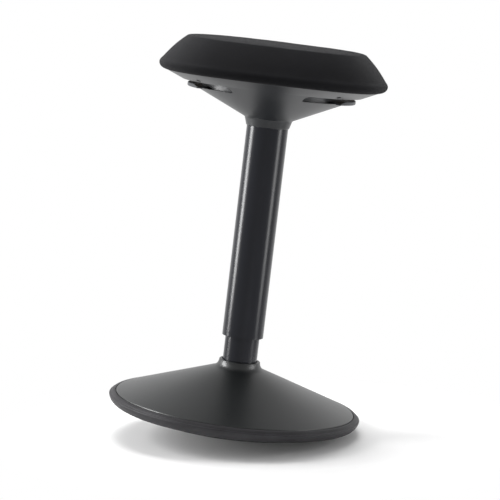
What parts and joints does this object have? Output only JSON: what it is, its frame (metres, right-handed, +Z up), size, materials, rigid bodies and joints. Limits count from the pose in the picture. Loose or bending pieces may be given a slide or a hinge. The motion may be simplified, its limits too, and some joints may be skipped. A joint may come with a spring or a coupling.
{
  "type": "wobble stool",
  "caption": "Height-adjustable wobble stool: weighted domed base with a rubber rim, telescopic gas column, cone-shaped shell with finger paddles and a bevelled padded seat.",
  "frame": {"origin": "centre of the flat foot under the domed base, on the floor", "axes": "+Z up along the column, X towards the two release paddles, -Y towards the viewer of the picture"},
  "size_m": [0.3681, 0.3682, 0.5699],
  "materials": {
    "tread_rubber": "matte, fine grain",
    "rim_rubber": "matte rubber",
    "inner_rubber": "matte",
    "structural_plastic": "moulded, matte",
    "cover_plastic": "moulded, fine satin grain",
    "shell_plastic": "moulded, fine satin grain",
    "ring_plastic": "moulded, satin",
    "nylon": "moulded, matte",
    "powder_coated_tube": "satin black powder coat",
    "gas_spring_steel": "gloss black paint",
    "black_steel": "satin black",
    "zinc_steel": "zinc plated",
    "bright_steel": "ground steel",
    "chromed_rod": "polished",
    "cast_iron": "as cast, painted",
    "cast_aluminium": "as cast",
    "valve_brass": "machined",
    "plywood": "unfinished birch plywood",
    "foam": "moulded foam",
    "seat_fabric": "fine woven, near black"
  },
  "bodies": {
    "base": {"dome_tread": "tread_rubber", "dome_pan": "structural_plastic", "ballast_ring": "cast_iron", "ballast_screws": "zinc_steel", "rim_bumper": "rim_rubber", "base_cover": "cover_plastic", "cover_screws": "zinc_steel", "column_socket": "black_steel", "socket_bolts": "zinc_steel", "column_tube": "powder_coated_tube", "column_floor": "black_steel", "guide_sleeve": "nylon", "bearing_lower_washer": "bright_steel"},
    "ball_cage": {"bearing_balls": "bright_steel", "bearing_cage": "nylon"},
    "rod": {"bearing_upper_washer": "bright_steel", "piston_rod": "chromed_rod", "retaining_clip": "bright_steel", "clip_washer": "bright_steel", "rubber_bumper": "inner_rubber", "piston": "valve_brass", "piston_seal": "inner_rubber", "piston_nut": "bright_steel"},
    "seat": {"gas_cylinder": "gas_spring_steel", "rod_guide": "nylon", "valve_body": "valve_brass", "cover_tube": "powder_coated_tube", "lower_guide_bush": "nylon", "upper_spacer": "nylon", "seat_carrier": "cast_aluminium", "guide_screws": "zinc_steel", "return_springs": "bright_steel", "carrier_bolts": "zinc_steel", "tee_nuts": "zinc_steel", "rocker_pins": "bright_steel", "seat_shell": "shell_plastic", "shell_screws": "zinc_steel", "seat_board": "plywood", "seat_foam": "foam", "seat_cover": "seat_fabric"},
    "release_ring": {"release_ring": "ring_plastic"},
    "release_pin": {"release_pin": "bright_steel", "pin_cap": "ring_plastic"},
    "rocker_right": {"rocker_right": "structural_plastic"},
    "rocker_left": {"rocker_left": "structural_plastic"}
  },
  "joints": [
    {"name": "seat_swivel", "type": "hinge", "parent": "base", "child": "rod", "pos_m": [0, 0, 0.032], "axis": [0, 0, 1], "continuous": true},
    {"name": "cage_turn", "type": "hinge", "parent": "base", "child": "ball_cage", "pos_m": [0, 0, 0.032], "axis": [0, 0, 1], "continuous": true},
    {"name": "seat_height", "type": "slide", "parent": "rod", "child": "seat", "axis": [0, 0, 1], "range_m": [0, 0.22]},
    {"name": "release_lift", "type": "slide", "parent": "seat", "child": "release_ring", "axis": [0, 0, 1], "range_m": [0, 0.0032], "stiffness_N_per_m": 1500, "springref_m": -0.003, "deforming": ["return_springs"]},
    {"name": "pin_press", "type": "slide", "parent": "seat", "child": "release_pin", "axis": [0, 0, -1], "range_m": [0, 0.0024]},
    {"name": "rocker_right_tilt", "type": "hinge", "parent": "seat", "child": "rocker_right", "pos_m": [0.038, 0, 0.5055], "axis": [0, -1, 0], "range_deg": [0, 4.1]},
    {"name": "rocker_left_tilt", "type": "hinge", "parent": "seat", "child": "rocker_left", "pos_m": [-0.038, 0, 0.5055], "axis": [0, 1, 0], "range_deg": [0, 4.1]}
  ],
  "couplings": [
    {"joint": "cage_turn", "follows": "seat_swivel", "ratio": 0.5},
    {"joint": "pin_press", "follows": "release_lift", "ratio": 0.7349},
    {"joint": "rocker_right_tilt", "follows": "release_lift", "rad_per_m": 22.27},
    {"joint": "rocker_left_tilt", "follows": "release_lift", "rad_per_m": 22.27}
  ]
}
